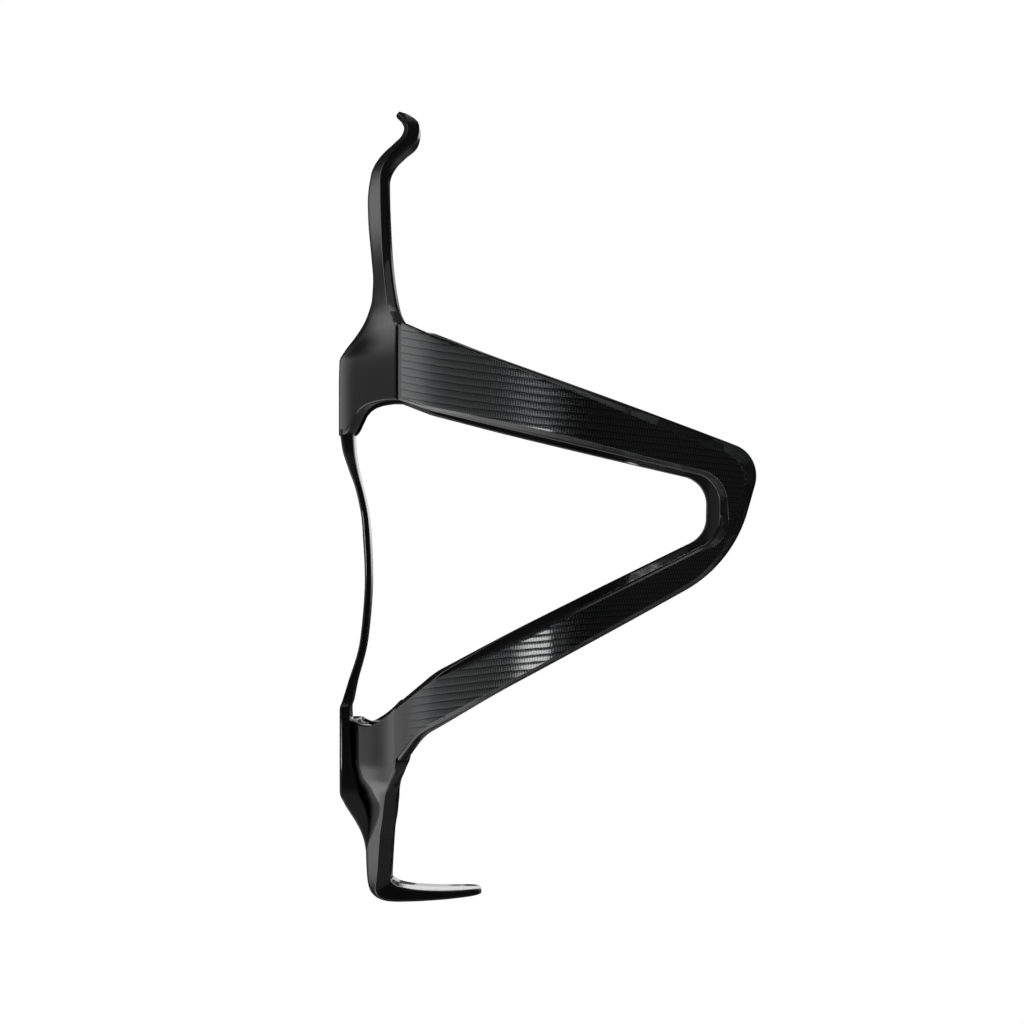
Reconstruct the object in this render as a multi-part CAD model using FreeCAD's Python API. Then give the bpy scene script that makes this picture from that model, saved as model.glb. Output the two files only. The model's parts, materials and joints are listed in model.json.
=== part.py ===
import FreeCAD, Part
import math
import os

# Water bottle cage, millimetres. The origin is midway between the two bolt holes on the mounting plane.
# +X points from the frame tube to the bottle, +Z up along the bottle, +Y to the left wing.

# ---- standards that the cage has to suit ----
BOSS_SPACING = 64.0            # between the two threaded bosses of a bicycle frame
BOLT_HOLE = 5.5                # clearance hole for an M5 bolt
BOTTLE_RADIUS = 37.0           # the common 74 mm bottle
BOTTLE_STANDOFF = 8.0          # mounting plane to the back of the bottle

# The upper half of the cage is placed from the upper bolt, the lower half from the lower one.
UPPER_BOLT = BOSS_SPACING / 2.0
LOWER_BOLT = -BOSS_SPACING / 2.0

# ---- laminate ----
SHELL = 2.4                    # wall of the pads, neck and strut
BAND = 2.1                     # structural wall of a wing
COVER = 0.3                    # woven cover ply on a wing
COVER_MARGIN = 1.5             # bare rim left round the cover ply
RIM_CLEARANCE = 0.02           # cover ply to band, so that the bonded faces don't cross

# ---- pads ----
PAD_HALF_WIDTH = 9.5           # flat part against the frame tube
PAD_FLARE = 28.0               # degrees round the bottle at which the wings start
UPPER_PAD_LOW = UPPER_BOLT - 6.6
UPPER_PAD_HIGH = UPPER_BOLT + 5.6
LOWER_PAD_HIGH = LOWER_BOLT + 9.6
LOWER_PAD_LOW = LOWER_BOLT - 6.7
FLARE_BULGE = 0.8              # how far the flared cheeks swell outwards

# ---- spine ----
SPINE_HALF_WIDTH = 7.0
SPINE_WALL = 1.2
SPINE_BOW = 4.4                # how far the spine stands off the mounting plane at its middle
BACK_PLATE = 1.8               # plate behind the lower pad

# ---- neck and hook ----
NECK_FOOT = UPPER_BOLT + 14.0
NECK_TOP = NECK_FOOT + 24.0
NECK_BACK = 5.0                # mounting plane to the back of the neck
NECK_HALF_WIDTH = 8.2
HOOK_HEIGHT = NECK_TOP + 11.8  # top of the curled tip
HOOK_REACH = 14.2              # foremost point of the bulge
HOOK_HALF_WIDTH = 7.4

# ---- wings, as seen from the side ----
WING_FRONT = 73.2              # foremost point of the wing
WING_FRONT_HEIGHT = 20.0       # height of that point
WING_TOP_AT_ROOT = UPPER_BOLT + 10.8   # height of the top edge just past the root
WING_TOP_AT_FRONT = 21.1       # where that straight edge would reach the foremost point
WING_LOW_AT_ROOT = LOWER_BOLT + 2.5
WING_LOW_AT_FRONT = 4.3
WING_ROOT_LOW = LOWER_BOLT - 0.6       # where the lower arm's root ends
WING_FRONT_LEAN = 16.5         # degrees that the front edge leans
WINDOW_FRONT = 66.2
WINDOW_TOP_AT_ROOT = UPPER_BOLT - 2.1
WINDOW_TOP_AT_FRONT = 16.24
WINDOW_LOW_AT_ROOT = LOWER_BOLT + 11.7
WINDOW_LOW_AT_FRONT = 6.5

# ---- strut and foot ----
STRUT_TOP = LOWER_BOLT - 14.0
STRUT_BACK = 4.8
STRUT_HALF_WIDTH = 9.2
FOOT_UNDERSIDE = LOWER_BOLT - 26.4
FOOT_ROOT_WALL = 2.6
FOOT_TOE_WALL = 1.3
FOOT_REACH = 25.3
FOOT_HALF_WIDTH = 8.5
FOOT_DROOP = 3.4               # degrees that the shelf falls towards its toe
HEEL_RADIUS = 3.6

# ---- bolt hole reinforcement ----
DOUBLER_RADIUS = 5.4
DOUBLER_WALL = 1.0

bottle_axis = BOTTLE_STANDOFF + BOTTLE_RADIUS
outer_radius = BOTTLE_RADIUS + BAND + COVER
far = 4.0 * bottle_axis
hole_heights = (UPPER_BOLT, LOWER_BOLT)


def vec(x, y, z):
    return FreeCAD.Vector(x, y, z)


def line(a, b):
    return Part.LineSegment(a, b).toShape()


def arc(a, middle, b):
    return Part.Arc(a, middle, b).toShape()


def rounded_wire(corners):
    """Closed wire through (point, radius) corners, each sharp corner replaced by a tangent arc."""
    joints = []
    for index, (point, radius) in enumerate(corners):
        before = corners[index - 1][0] - point
        after = corners[(index + 1) % len(corners)][0] - point
        if radius <= 0.0:
            joints.append((point, None, point))
            continue
        before.normalize()
        after.normalize()
        half = before.getAngle(after) / 2.0
        reach = radius / math.tan(half)
        inward = before + after
        inward.normalize()
        middle = point + inward * (radius / math.sin(half) - radius)
        joints.append((point + before * reach, middle, point + after * reach))
    edges = []
    for index, (start, middle, end) in enumerate(joints):
        if middle is not None:
            edges.append(arc(start, middle, end))
        edges.append(line(end, joints[(index + 1) % len(joints)][0]))
    return Part.Wire(edges)


def side_prism(corners, half_width):
    """Solid with the given side outline, (x, z, radius) each, running across the cage."""
    wire = rounded_wire([(vec(x, -half_width, z), radius) for x, z, radius in corners])
    return Part.Face(wire).extrude(vec(0.0, 2.0 * half_width, 0.0))


def front_prism(corners, low_x, high_x):
    """Solid with the given front outline, (y, z, radius) each, running fore and aft."""
    wire = rounded_wire([(vec(low_x, y, z), radius) for y, z, radius in corners])
    return Part.Face(wire).extrude(vec(high_x - low_x, 0.0, 0.0))


def channel(back, height, lean, flat_half, half_width, reach, end_turn, wall):
    """Cross-section of a strap with forward cheeks, set square to a path that leans by lean degrees.

    The back is flat for flat_half each side of the middle, then each cheek swells forward to half_width,
    reach in front of the back, where the wall ends in a face turned by end_turn degrees."""
    turn = math.radians(end_turn)
    tip = vec(reach, half_width, 0.0)
    inner_tip = tip + vec(wall * math.cos(turn), -wall * math.sin(turn), 0.0)
    root = vec(0.0, flat_half, 0.0)
    inner_root = vec(wall, flat_half - 0.35 * wall, 0.0)
    run = tip - root
    swell = vec(-run.y, run.x, 0.0)
    swell.normalize()
    swell = swell * min(FLARE_BULGE, 0.15 * run.Length)
    middle = (root + tip) * 0.5 + swell
    inner_middle = (inner_root + inner_tip) * 0.5 + swell

    def mirrored(point):
        return vec(point.x, -point.y, 0.0)

    edges = [
        line(mirrored(root), root),
        arc(root, middle, tip),
        line(tip, inner_tip),
        arc(inner_tip, inner_middle, inner_root),
        line(inner_root, mirrored(inner_root)),
        arc(mirrored(inner_root), mirrored(inner_middle), mirrored(inner_tip)),
        line(mirrored(inner_tip), mirrored(tip)),
        arc(mirrored(tip), mirrored(middle), mirrored(root)),
    ]
    wire = Part.Wire(edges)
    wire.rotate(vec(0.0, 0.0, 0.0), vec(0.0, 1.0, 0.0), lean)
    wire.translate(vec(back, 0.0, height))
    return wire


def hugging(back, height, flat_half, angle, wall=SHELL):
    """Level channel whose cheeks end on the bottle's surface, angle degrees round from its back."""
    turn = math.radians(angle)
    radius = BOTTLE_RADIUS + wall
    reach = bottle_axis - radius * math.cos(turn) - back
    return channel(back, height, 0.0, flat_half, radius * math.sin(turn), reach, angle, wall)


def angle_at(half_width):
    """Degrees round the bottle at which its surface is half_width from the middle plane."""
    return math.degrees(math.asin(half_width / BOTTLE_RADIUS))


def ring(low_radius, high_radius):
    """Tube round the bottle's axis, taller than the cage."""
    base = vec(bottle_axis, 0.0, -far)
    outer = Part.makeCylinder(high_radius, 2.0 * far, base)
    return outer.cut(Part.makeCylinder(low_radius, 2.0 * far, base))


def wedge():
    """Space on the left of the cage, ahead of the radial plane where the left wing starts."""
    turn = math.radians(PAD_FLARE)
    start = vec(bottle_axis, 0.0, -far)
    root = start + vec(-far * math.cos(turn), far * math.sin(turn), 0.0)
    corners = [start, root, vec(root.x, far, -far), vec(far, far, -far), vec(far, 0.0, -far), start]
    return Part.Face(Part.makePolygon(corners)).extrude(vec(0.0, 0.0, 2.0 * far))


def meet(x_a, z_a, slope_a, x_b, z_b, slope_b):
    """Point where two lines in the side view cross, each given by a point and its slope in degrees."""
    rise_a = math.tan(math.radians(slope_a))
    rise_b = math.tan(math.radians(slope_b))
    x = (z_b - z_a + rise_a * x_a - rise_b * x_b) / (rise_a - rise_b)
    return x, z_a + rise_a * (x - x_a)


def slope_between(x_a, z_a, x_b, z_b):
    """Slope in degrees of the line through two points of the side view."""
    return math.degrees(math.atan2(z_b - z_a, x_b - x_a))


root_x = bottle_axis - outer_radius * math.cos(math.radians(PAD_FLARE))
edge_x = root_x + 2.0          # where the straight edges of the outline start
wing_top_slope = slope_between(edge_x, WING_TOP_AT_ROOT, WING_FRONT, WING_TOP_AT_FRONT)
wing_low_slope = slope_between(edge_x, WING_LOW_AT_ROOT, WING_FRONT, WING_LOW_AT_FRONT)
window_top_slope = slope_between(edge_x, WINDOW_TOP_AT_ROOT, WINDOW_FRONT, WINDOW_TOP_AT_FRONT)
window_low_slope = slope_between(edge_x, WINDOW_LOW_AT_ROOT, WINDOW_FRONT, WINDOW_LOW_AT_FRONT)
front_slope = 90.0 - WING_FRONT_LEAN


def wing_outline(margin):
    """Outer side outline of a wing, drawn in by margin all round."""
    low = math.radians(wing_low_slope)
    high = math.radians(wing_top_slope)
    lean = math.radians(WING_FRONT_LEAN)
    top_z = WING_TOP_AT_ROOT - margin / math.cos(high)
    low_z = WING_LOW_AT_ROOT + margin / math.cos(low)
    front_x = WING_FRONT + 1.0 - margin / math.cos(lean)
    nose = meet(edge_x, top_z, wing_top_slope, front_x, WING_FRONT_HEIGHT, front_slope)
    chin = meet(edge_x, low_z, wing_low_slope, front_x, WING_FRONT_HEIGHT, front_slope)
    bend_z = top_z - 1.7 * math.tan(-high)
    return [
        (-1.0, bend_z + 10.6, 0.0),
        (edge_x + 1.7, bend_z, 14.0),
        (nose[0], nose[1], 4.0 - margin),
        (chin[0], chin[1], 20.0),
        (edge_x + 0.9 + margin / 2.0, low_z + 0.4, 9.0),
        (root_x + 1.6 + margin / 2.0, WING_ROOT_LOW, 0.0),
        (-1.0, WING_ROOT_LOW, 0.0),
    ]


def window_outline(margin):
    """Side outline of the opening between a wing's two arms, grown by margin all round."""
    low = math.radians(window_low_slope)
    high = math.radians(window_top_slope)
    top_z = WINDOW_TOP_AT_ROOT + margin / math.cos(high)
    low_z = WINDOW_LOW_AT_ROOT - margin / math.cos(low)
    front_x = WINDOW_FRONT + margin
    top = meet(edge_x, top_z, window_top_slope, front_x, 0.0, 89.0)
    bottom = meet(edge_x, low_z, window_low_slope, front_x, 0.0, 89.0)
    return [
        (BACK_PLATE + 0.4, UPPER_PAD_LOW, 0.0),
        (BACK_PLATE + 1.4, UPPER_PAD_LOW + 3.6, 2.0),
        (root_x - 1.0, top_z + 0.9, 4.0),
        (edge_x + 4.0, top_z + 4.0 * math.tan(high), 20.0),
        (top[0], top[1], 3.5),
        (bottom[0], bottom[1], 3.5),
        (edge_x - 1.0, low_z - 0.8, 30.0),
        (BACK_PLATE + 4.8, LOWER_PAD_HIGH - 4.6, 3.0),
        (BACK_PLATE + 1.2, LOWER_PAD_HIGH - 5.0, 1.6),
        (BACK_PLATE + 0.4, LOWER_PAD_HIGH - 0.6, 0.0),
    ]


def wing_solid(low_radius, high_radius, margin):
    """Left wing layer between two radii, its outline drawn in by margin."""
    reach = outer_radius + 10.0
    outline = side_prism(wing_outline(margin), reach)
    window = side_prism(window_outline(margin), reach)
    return outline.cut(window).common(ring(low_radius, high_radius)).common(wedge())


def mirrored(shape):
    return shape.mirror(vec(0.0, 0.0, 0.0), vec(0.0, 1.0, 0.0))


def drilled(shape):
    """Shape with both bolt holes cut through it."""
    for height in hole_heights:
        base = vec(-1.0, 0.0, height)
        shape = shape.cut(Part.makeCylinder(BOLT_HOLE / 2.0, BOTTLE_STANDOFF + 2.0, base, vec(1.0, 0.0, 0.0)))
    return shape


def upper_saddle():
    """Pad at the upper bolt, flaring to both wing roots and narrowing to the neck."""
    pad = Part.makeLoft([
        hugging(0.0, UPPER_PAD_LOW, PAD_HALF_WIDTH, PAD_FLARE),
        hugging(0.0, UPPER_PAD_HIGH, PAD_HALF_WIDTH, PAD_FLARE),
    ], True, True)
    rise = Part.makeLoft([
        hugging(0.0, UPPER_PAD_HIGH, PAD_HALF_WIDTH, PAD_FLARE),
        hugging(0.7 * NECK_BACK, NECK_FOOT - 2.4, 0.6 * PAD_HALF_WIDTH, PAD_FLARE),
        hugging(NECK_BACK, NECK_FOOT, 0.4 * PAD_HALF_WIDTH, angle_at(1.75 * NECK_HALF_WIDTH)),
    ], True, True)
    body = pad.fuse(rise).removeSplitter()
    return drilled(body.cut(side_prism(window_outline(0.0), far)))


def lower_saddle():
    """Pad at the lower bolt, flaring to both wing roots and narrowing to the strut."""
    flat = PAD_HALF_WIDTH - 0.7
    pad = Part.makeLoft([
        hugging(BACK_PLATE, LOWER_PAD_HIGH, flat, PAD_FLARE),
        hugging(BACK_PLATE, WING_ROOT_LOW, flat, PAD_FLARE),
        hugging(BACK_PLATE, LOWER_PAD_LOW, flat, 0.76 * PAD_FLARE),
    ], True, True)
    drop = Part.makeLoft([
        hugging(BACK_PLATE, LOWER_PAD_LOW, flat, 0.76 * PAD_FLARE),
        hugging(STRUT_BACK, STRUT_TOP, 0.4 * PAD_HALF_WIDTH, angle_at(1.15 * STRUT_HALF_WIDTH)),
    ], True, True)
    body = pad.fuse(drop).removeSplitter()
    return drilled(body.cut(side_prism(window_outline(0.0), far)))


def spine_strap():
    """Thin bowed strap between the pads, widening to the plate behind the lower pad."""
    top, low = UPPER_PAD_LOW, LOWER_PAD_HIGH
    middle = (top + low) / 2.0
    tail_back = STRUT_BACK - 0.1 * BACK_PLATE
    plate = BACK_PLATE
    back = [
        arc(vec(0.0, 0.0, top), vec(SPINE_BOW, 0.0, middle), vec(0.0, 0.0, low)),
        line(vec(0.0, 0.0, low), vec(0.0, 0.0, LOWER_PAD_LOW)),
        line(vec(0.0, 0.0, LOWER_PAD_LOW), vec(tail_back, 0.0, STRUT_TOP)),
        line(vec(tail_back, 0.0, STRUT_TOP), vec(STRUT_BACK, 0.0, STRUT_TOP)),
        line(vec(STRUT_BACK, 0.0, STRUT_TOP), vec(plate, 0.0, LOWER_PAD_LOW)),
        line(vec(plate, 0.0, LOWER_PAD_LOW), vec(plate, 0.0, low)),
        arc(vec(plate, 0.0, low), vec(SPINE_BOW + SPINE_WALL, 0.0, middle), vec(plate, 0.0, top)),
        line(vec(plate, 0.0, top), vec(0.0, 0.0, top)),
    ]
    face = Part.Face(Part.Wire(back))
    face.translate(vec(0.0, -PAD_HALF_WIDTH, 0.0))
    strap = face.extrude(vec(0.0, 2.0 * PAD_HALF_WIDTH, 0.0))
    wide, narrow, tail = PAD_HALF_WIDTH, SPINE_HALF_WIDTH, 0.4 * PAD_HALF_WIDTH
    half = [
        (narrow, top + 1.0, 0.0),
        (narrow, low + 2.0, 4.0),
        (wide, low - 1.5, 2.0),
        (wide, LOWER_PAD_LOW, 0.0),
        (tail, STRUT_TOP - 0.5, 0.0),
    ]
    front = front_prism(half + [(-y, z, radius) for y, z, radius in reversed(half)], -1.0, far)
    return drilled(strap.common(front))


def neck_strap():
    """Tapering strap from the upper pad to the hook."""
    foot_angle = angle_at(1.75 * NECK_HALF_WIDTH)
    top_angle = angle_at(NECK_HALF_WIDTH)
    sections = []
    for share, bend in ((0.0, 0.0), (0.12, 0.7), (0.28, 0.9), (0.45, 0.4), (0.7, 0.0), (1.0, 0.5)):
        height = NECK_FOOT + share * (NECK_TOP - NECK_FOOT)
        taper = (1.0 - min(1.0, share / 0.6)) ** 2
        flat_half = 3.0 + taper * (0.4 * PAD_HALF_WIDTH - 3.0)
        sections.append(hugging(NECK_BACK + bend, height, flat_half,
                                top_angle + taper * (foot_angle - top_angle)))
    return Part.makeLoft(sections, True, False)


def hook_lip():
    """Bulge that clicks into the bottle's groove, with a tip curled back."""
    rise = HOOK_HEIGHT - NECK_TOP
    angle = angle_at(NECK_HALF_WIDTH)
    sections = [hugging(NECK_BACK + 0.5, NECK_TOP, 3.0, angle)]
    # each station: back of the strap behind the bulge, share of the rise, lean, share of the width, wall
    stations = (
        (-7.2, 0.27, 30.0, 1.06, 2.3),
        (-4.9, 0.51, 43.0, 1.04, 2.3),
        (-3.3, 0.66, 30.0, 1.02, 2.3),
        (-2.8, 0.78, -8.0, 1.00, 2.0),
        (-3.9, 0.95, -42.0, 0.94, 1.2),
    )
    for behind, share, lean, width, wall in stations:
        half_width = width * HOOK_HALF_WIDTH
        height = NECK_TOP + share * rise
        sections.append(channel(HOOK_REACH + behind, height, lean, 3.0, half_width, 0.7, 8.0, wall))
    return Part.makeLoft(sections, True, False)


def foot_strut():
    """Channelled strap from the lower pad, turned forward at the heel."""
    shelf_top = FOOT_UNDERSIDE + FOOT_ROOT_WALL
    strut = Part.makeLoft([
        hugging(STRUT_BACK, STRUT_TOP, 0.4 * PAD_HALF_WIDTH, angle_at(1.15 * STRUT_HALF_WIDTH)),
        hugging(STRUT_BACK, shelf_top + 2.0, 0.5 * PAD_HALF_WIDTH, angle_at(0.88 * STRUT_HALF_WIDTH)),
        hugging(STRUT_BACK, shelf_top - 0.3, 0.6 * PAD_HALF_WIDTH, angle_at(0.86 * STRUT_HALF_WIDTH)),
    ], True, True)
    heel = side_prism([
        (STRUT_BACK, FOOT_UNDERSIDE, 0.0),
        (heel_front, FOOT_UNDERSIDE, 0.0),
        (heel_front, shelf_top, 0.0),
        (STRUT_BACK, shelf_top, 0.0),
    ], FOOT_HALF_WIDTH)
    rounded = side_prism([
        (STRUT_BACK, FOOT_UNDERSIDE, HEEL_RADIUS),
        (heel_front, FOOT_UNDERSIDE, 0.0),
        (heel_front, STRUT_TOP, 0.0),
        (STRUT_BACK, STRUT_TOP, 0.0),
    ], far)
    return strut.fuse(heel).common(rounded).removeSplitter()


heel_front = STRUT_BACK + HEEL_RADIUS + 2.4


def foot_shelf():
    """Tongue that the bottle stands on: tapering towards a rounded toe."""
    drop = (FOOT_REACH - heel_front) * math.tan(math.radians(FOOT_DROOP))
    toe_top = FOOT_UNDERSIDE + FOOT_ROOT_WALL - drop
    tongue = side_prism([
        (heel_front, FOOT_UNDERSIDE, 0.0),
        (FOOT_REACH, toe_top - FOOT_TOE_WALL, FOOT_TOE_WALL / 2.2),
        (FOOT_REACH, toe_top, FOOT_TOE_WALL / 2.2),
        (heel_front, FOOT_UNDERSIDE + FOOT_ROOT_WALL, 0.0),
    ], FOOT_HALF_WIDTH + 1.0)
    half = FOOT_HALF_WIDTH
    corners = [
        (heel_front - 1.0, -half, 0.0),
        (FOOT_REACH, -half, 6.5),
        (FOOT_REACH, half, 6.5),
        (heel_front - 1.0, half, 0.0),
    ]
    wire = rounded_wire([(vec(x, y, FOOT_UNDERSIDE - 1.0), radius) for x, y, radius in corners])
    plan = Part.Face(wire).extrude(vec(0.0, 0.0, FOOT_ROOT_WALL + 2.0))
    return tongue.common(plan)


def bolt_doubler(height, face_x):
    """Disc of extra plies round a bolt hole, on the bottle side of a pad."""
    disc = Part.makeCylinder(DOUBLER_RADIUS, DOUBLER_WALL, vec(face_x, 0.0, height), vec(1.0, 0.0, 0.0))
    return drilled(disc)


def single(shape):
    """The one solid that a boolean result holds."""
    if len(shape.Solids) != 1:
        raise ValueError("expected one solid, found %d" % len(shape.Solids))
    return shape.Solids[0]


left_band = wing_solid(BOTTLE_RADIUS, BOTTLE_RADIUS + BAND - RIM_CLEARANCE, 0.0)
left_cover = wing_solid(BOTTLE_RADIUS + BAND, outer_radius, COVER_MARGIN)
nodes = {
    "upper_saddle": upper_saddle(),
    "lower_saddle": lower_saddle(),
    "spine_strap": spine_strap(),
    "neck_strap": neck_strap(),
    "hook_lip": hook_lip(),
    "left_wing_band": left_band,
    "right_wing_band": mirrored(left_band),
    "left_wing_cover": left_cover,
    "right_wing_cover": mirrored(left_cover),
    "foot_strut": foot_strut(),
    "foot_shelf": foot_shelf(),
    "upper_bolt_doubler": bolt_doubler(hole_heights[0], SHELL),
    "lower_bolt_doubler": bolt_doubler(hole_heights[1], BACK_PLATE + SHELL),
}

os.makedirs("parts", exist_ok=True)
for name, shape in nodes.items():
    solid = single(shape)
    solid.exportStep("parts/" + name + ".step")
    print(name, solid.isValid(), round(solid.Volume, 1), solid.BoundBox)
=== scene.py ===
import json
import math

import bpy
import numpy as np
from bpy.props import FloatProperty, FloatVectorProperty, PointerProperty
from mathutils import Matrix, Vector


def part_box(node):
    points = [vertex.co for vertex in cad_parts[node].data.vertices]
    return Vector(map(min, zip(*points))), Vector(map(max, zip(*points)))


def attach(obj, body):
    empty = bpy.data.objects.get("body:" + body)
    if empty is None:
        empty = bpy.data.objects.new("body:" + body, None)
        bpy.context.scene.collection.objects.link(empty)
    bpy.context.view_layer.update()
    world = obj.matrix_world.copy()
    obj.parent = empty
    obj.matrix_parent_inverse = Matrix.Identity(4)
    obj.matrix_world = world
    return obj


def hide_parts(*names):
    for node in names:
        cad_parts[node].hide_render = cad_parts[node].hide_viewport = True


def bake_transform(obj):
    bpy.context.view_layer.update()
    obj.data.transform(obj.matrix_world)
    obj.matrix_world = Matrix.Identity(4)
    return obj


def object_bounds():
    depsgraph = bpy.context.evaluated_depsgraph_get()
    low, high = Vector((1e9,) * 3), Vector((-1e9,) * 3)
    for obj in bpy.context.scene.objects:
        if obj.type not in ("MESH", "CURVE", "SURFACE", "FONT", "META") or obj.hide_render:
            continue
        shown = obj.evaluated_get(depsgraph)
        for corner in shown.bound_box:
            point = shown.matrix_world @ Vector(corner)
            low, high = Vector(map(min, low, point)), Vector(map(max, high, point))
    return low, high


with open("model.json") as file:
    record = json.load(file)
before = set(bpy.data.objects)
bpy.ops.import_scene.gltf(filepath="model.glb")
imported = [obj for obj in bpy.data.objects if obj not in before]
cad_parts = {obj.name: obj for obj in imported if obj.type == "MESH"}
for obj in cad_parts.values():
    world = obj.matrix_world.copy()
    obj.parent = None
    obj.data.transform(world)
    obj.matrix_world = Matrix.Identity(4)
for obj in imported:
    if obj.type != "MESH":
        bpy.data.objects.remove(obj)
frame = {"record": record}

bl_info = {
    "name": "Carbon Bottle Cage",
    "version": (1, 0, 0),
    "blender": (4, 5, 0),
    "location": "View3D > Sidebar > Cage",
    "description": "Lays up a moulded carbon bottle cage over its engineering model",
    "category": "Add Mesh",
}

CAD_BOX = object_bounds()
MM = 0.001

# The bottle's axis and the outside of the shell, read from the engineering model.
COVER_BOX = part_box("right_wing_cover")
SHELL_R = -COVER_BOX[0].y / MM
ROOT_X = COVER_BOX[0].x / MM
ROOT_SWING = 28.0
AXIS_X = ROOT_X + SHELL_R * math.cos(math.radians(ROOT_SWING))
BOLT_Z = frame["record"]["mounts"][0]["dims"]["spacing_y_mm"] / 2.0

SADDLE_WALL = 2.4
BOTTLE_R = SHELL_R - SADDLE_WALL

RIM_STEPS = 4        # points round half of a rolled edge
RIM_SQUARE = 0.62    # under 1 squares an edge off, 1 is a half round
SADDLE_RIM = 0.35    # reaches into the wing roots
TRUNK_RIM = 0.36
SPINE_RIM = 0.32
PLY_RIM = 0.16
END_RIM = 0.3        # the hook's tip and the foot's toe
TAIL_RIM = 0.05
SADDLE_END_RIM = 0.5

ACROSS = np.linspace(-1, 1, 61)[:, None]    # from a trunk piece's right edge to its left

CAMERA_PLACE = (0.03067, -0.950, 0.01079)
CAMERA_LENS = 187.3
FLOOR_DROP = 0.0004
FLOOR_STEPS = 96
FLOOR_RADII = np.array([0.02, 0.2, 0.6, 2.5])
SOFTBOX_PLACE, SOFTBOX_AIM = Vector((0.05, -0.38, 0.75)), Vector((0.05, 0.0, 0.02))
SOFTBOX_WIDE, SOFTBOX_TALL, SOFTBOX_BRIGHT = 0.9, 0.5, 0.4
TWILL = 0.0011       # metres from one line of the doublers' twill to the next
WHITE = (1, 1, 1, 1)
DARK_ROOM = 0.012    # what reflections see between the panels


# ---------------------------------------------------------------- sizes and finishes


class CageSizes(bpy.types.PropertyGroup):
    """Sizes of the moulding that a maker would change."""

    bottle_r: FloatProperty(
        name="Bottle radius",
        description="Inside of the shell, where the bottle sits",
        default=37.0 * MM, unit="LENGTH",
    )
    ply: FloatProperty(
        name="Woven ply",
        description="Thickness of the woven ply on each wing",
        default=0.36 * MM, unit="LENGTH",
    )
    chamfer_slope: FloatProperty(
        name="Chamfer slope",
        description="Fall of the moulded chamfer over its width",
        default=0.5,
    )
    rim: FloatProperty(
        name="Rim",
        description="How far a wing's rolled rim stands out past its flank",
        default=0.4 * MM, unit="LENGTH",
    )
    hole_r: FloatProperty(
        name="Bolt hole radius",
        description="Radius of the clearance holes",
        default=2.75 * MM, unit="LENGTH",
    )
    doubler_r: FloatProperty(
        name="Doubler radius",
        description="Radius of the round doubler under each bolt head",
        default=5.4 * MM, unit="LENGTH",
    )


class CageFinish(bpy.types.PropertyGroup):
    """Colours and weave of the carbon."""

    resin: FloatVectorProperty(
        name="Resin", description="Clear-coated carbon in shade",
        default=(0.0035, 0.0037, 0.0042), subtype="COLOR", size=3,
    )
    fibre: FloatVectorProperty(
        name="Fibre", description="Carbon fibre where it catches the light",
        default=(0.14, 0.1435, 0.1485), subtype="COLOR", size=3,
    )
    flake: FloatVectorProperty(
        name="Flake", description="Chopped fibre in the chamfers",
        default=(0.075, 0.078, 0.083), subtype="COLOR", size=3,
    )
    tow: FloatProperty(
        name="Tow width", description="Width of one tow of the woven ply",
        default=1.3 * MM, unit="LENGTH",
    )
    floor: FloatVectorProperty(
        name="Floor", description="Colour of the studio floor",
        default=(0.93, 0.93, 0.93), subtype="COLOR", size=3,
    )


# ---------------------------------------------------------------- shape helpers


def through(knots, values, at):
    """Smooth line through points without overshoot: Hermite cubics, each knot's slope
    the harmonic mean of the slopes on its two sides, or level at a turning point."""
    knots, values, at = (np.asarray(a, float) for a in (knots, values, at))
    step = np.diff(knots)
    rise = np.diff(values) / step
    same_way = rise[:-1] * rise[1:] > 0
    total = np.where(same_way, rise[:-1] + rise[1:], 1.0)
    mean = np.where(same_way, 2 * rise[:-1] * rise[1:] / total, 0.0)
    slope = np.concatenate([rise[:1], mean, rise[-1:]])
    at = np.clip(at, knots[0], knots[-1])
    i = np.clip(np.searchsorted(knots, at, side="right") - 1, 0, len(step) - 1)
    t = (at - knots[i]) / step[i]
    held = values[i] * (1 + 2 * t) * (1 - t) ** 2 + values[i + 1] * t * t * (3 - 2 * t)
    pulled = slope[i] * t * (1 - t) ** 2 + slope[i + 1] * t * t * (t - 1)
    return held + pulled * step[i]


def ease(low, high, at):
    """0 below low, 1 above high, and a smooth step between."""
    t = np.clip((np.asarray(at, float) - low) / (high - low), 0, 1)
    return t * t * (3 - 2 * t)


def mix(a, b, share):
    """a at share 0, b at share 1, a straight line between."""
    return a + (b - a) * share


def pull(controls, at):
    """Quadratic spline: runs from the first control to the last, and bends towards each
    inner control in turn, its joins half way between neighbours."""
    spans = len(controls) - 2
    place = np.clip(at, 0, 1) * spans
    total = 0.0
    for k in range(spans):
        x = place - k
        here = (x >= 0) & ((x < 1) | (k == spans - 1))
        start = controls[0] if k == 0 else (controls[k] + controls[k + 1]) / 2
        last = k == spans - 1
        end = controls[-1] if last else (controls[k + 1] + controls[k + 2]) / 2
        bend = start * (1 - x) ** 2 + 2 * controls[k + 1] * x * (1 - x) + end * x * x
        total = total + here * bend
    return total


def unit(v):
    """Each vector of an array divided by its length."""
    return v / np.maximum(np.linalg.norm(v, axis=-1, keepdims=True), 1e-9)


def square_to(direction, thickness):
    """Direction with its share along the thickness taken out, at length 1."""
    n = unit(thickness)
    return unit(direction - n * np.sum(direction * n, axis=-1, keepdims=True))


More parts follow.
